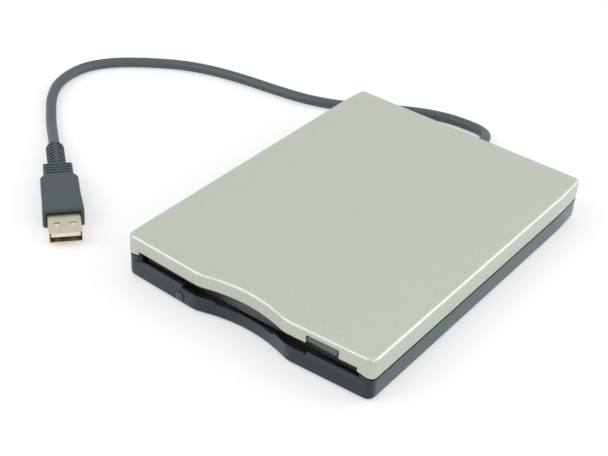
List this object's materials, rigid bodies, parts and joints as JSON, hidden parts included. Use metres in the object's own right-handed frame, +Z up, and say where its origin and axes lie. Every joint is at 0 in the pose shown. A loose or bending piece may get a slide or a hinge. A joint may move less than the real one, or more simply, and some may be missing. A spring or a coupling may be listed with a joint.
{
  "type": "external floppy disk drive",
  "caption": "Flat external floppy disk drive with a silver cover over a dark case, a wavy front with slot and eject button, the loading mechanism inside, and a lead with a plug.",
  "frame": {"origin": "Middle of the case's bounding box on the table, without the cord and plug.", "axes": "+X to the right seen from the front, +Y to the rear where the cord leaves, +Z up."},
  "size_m": [0.223, 0.1807, 0.0175],
  "materials": {
    "silver_cover": "fine silver paint",
    "dark_case": "fine matte, blue-grey",
    "foot_rubber": "soft",
    "plated_steel": "nickel plated",
    "lamp_lens": "smoked, polished",
    "button_plastic": "fine matte",
    "sheet_steel": "zinc plated",
    "board_green": "solder mask",
    "black_plastic": "moulded",
    "white_plastic": "moulded",
    "cable_white": "smooth film",
    "cord_grey": "satin jacket",
    "nickel_shell": "nickel plated"
  },
  "bodies": {
    "case": {"top_cover": "silver_cover", "bottom_case": "dark_case", "foot_front_left": "foot_rubber", "foot_front_right": "foot_rubber", "foot_rear_left": "foot_rubber", "foot_rear_right": "foot_rubber", "case_screw_left": "plated_steel", "case_screw_right": "plated_steel", "lamp_window": "lamp_lens", "drive_chassis": "sheet_steel", "spindle_stator": "board_green", "guide_rod": "plated_steel", "stepper_motor": "sheet_steel", "main_board": "board_green", "write_protect_switch": "black_plastic", "density_switch": "black_plastic", "disk_in_switch": "black_plastic", "converter_board": "board_green", "flat_cable": "cable_white", "cord_gland": "cord_grey", "usb_cord": "cord_grey", "plug_boot": "cord_grey", "plug_grip": "cord_grey", "plug_shell": "nickel_shell", "plug_tongue": "white_plastic"},
    "ejector": {"eject_button": "button_plastic", "eject_slide": "sheet_steel"},
    "cradle": {"disk_cradle": "sheet_steel"},
    "shutter": {"shutter_lever": "sheet_steel"},
    "flap": {"slot_flap": "dark_case"},
    "spindle": {"spindle_rotor": "plated_steel"},
    "carriage": {"head_carriage": "black_plastic"},
    "upper_arm": {"upper_head_arm": "sheet_steel"},
    "screw_shaft": {"lead_screw": "plated_steel"},
    "write_protect_button": {"write_protect_plunger": "white_plastic"},
    "density_button": {"density_plunger": "white_plastic"},
    "disk_in_button": {"disk_in_plunger": "white_plastic"}
  },
  "joints": [
    {"name": "eject_travel", "type": "slide", "parent": "case", "child": "ejector", "axis": [0, -1, 0], "range_m": [0, 0.006]},
    {"name": "cradle_drop", "type": "slide", "parent": "case", "child": "cradle", "axis": [0, 0, -1], "range_m": [0, 0.0018]},
    {"name": "upper_arm_drop", "type": "hinge", "parent": "carriage", "child": "upper_arm", "pos_m": [0, 0.04452, 0.01205], "axis": [1, 0, 0], "range_deg": [0, 8.4]},
    {"name": "shutter_swing", "type": "hinge", "parent": "cradle", "child": "shutter", "pos_m": [-0.014, 0.03042, 0.014], "axis": [0, 0, -1], "range_deg": [0, 54], "stiffness_Nm_per_rad": 0.0005, "springref_deg": -17.19},
    {"name": "flap_swing", "type": "hinge", "parent": "case", "child": "flap", "pos_m": [0, -0.06663, 0.0132], "axis": [1, 0, 0], "range_deg": [0, 85], "stiffness_Nm_per_rad": 0.0001, "springref_deg": -28.65},
    {"name": "spindle_spin", "type": "hinge", "parent": "case", "child": "spindle", "pos_m": [0, -0.01927, 0.005], "axis": [0, 0, 1], "continuous": true},
    {"name": "head_travel", "type": "slide", "parent": "case", "child": "carriage", "axis": [0, -1, 0], "range_m": [0, 0.015]},
    {"name": "screw_turn", "type": "hinge", "parent": "case", "child": "screw_shaft", "pos_m": [0.012, 0.04, 0.0083], "axis": [0, 1, 0], "range_deg": [0, 1800]},
    {"name": "write_protect_press", "type": "slide", "parent": "case", "child": "write_protect_button", "axis": [0, 0, -1], "range_m": [0, 0.0008], "stiffness_N_per_m": 50, "springref_m": -0.0006},
    {"name": "density_press", "type": "slide", "parent": "case", "child": "density_button", "axis": [0, 0, -1], "range_m": [0, 0.0008], "stiffness_N_per_m": 50, "springref_m": -0.0006},
    {"name": "disk_in_press", "type": "slide", "parent": "case", "child": "disk_in_button", "axis": [0, 0, -1], "range_m": [0, 0.0008], "stiffness_N_per_m": 50, "springref_m": -0.0006}
  ],
  "couplings": [
    {"joint": "cradle_drop", "follows": "eject_travel", "ratio": 0.3},
    {"joint": "upper_arm_drop", "follows": "eject_travel", "rad_per_m": 24.4},
    {"joint": "screw_turn", "follows": "head_travel", "rad_per_m": 2094}
  ]
}
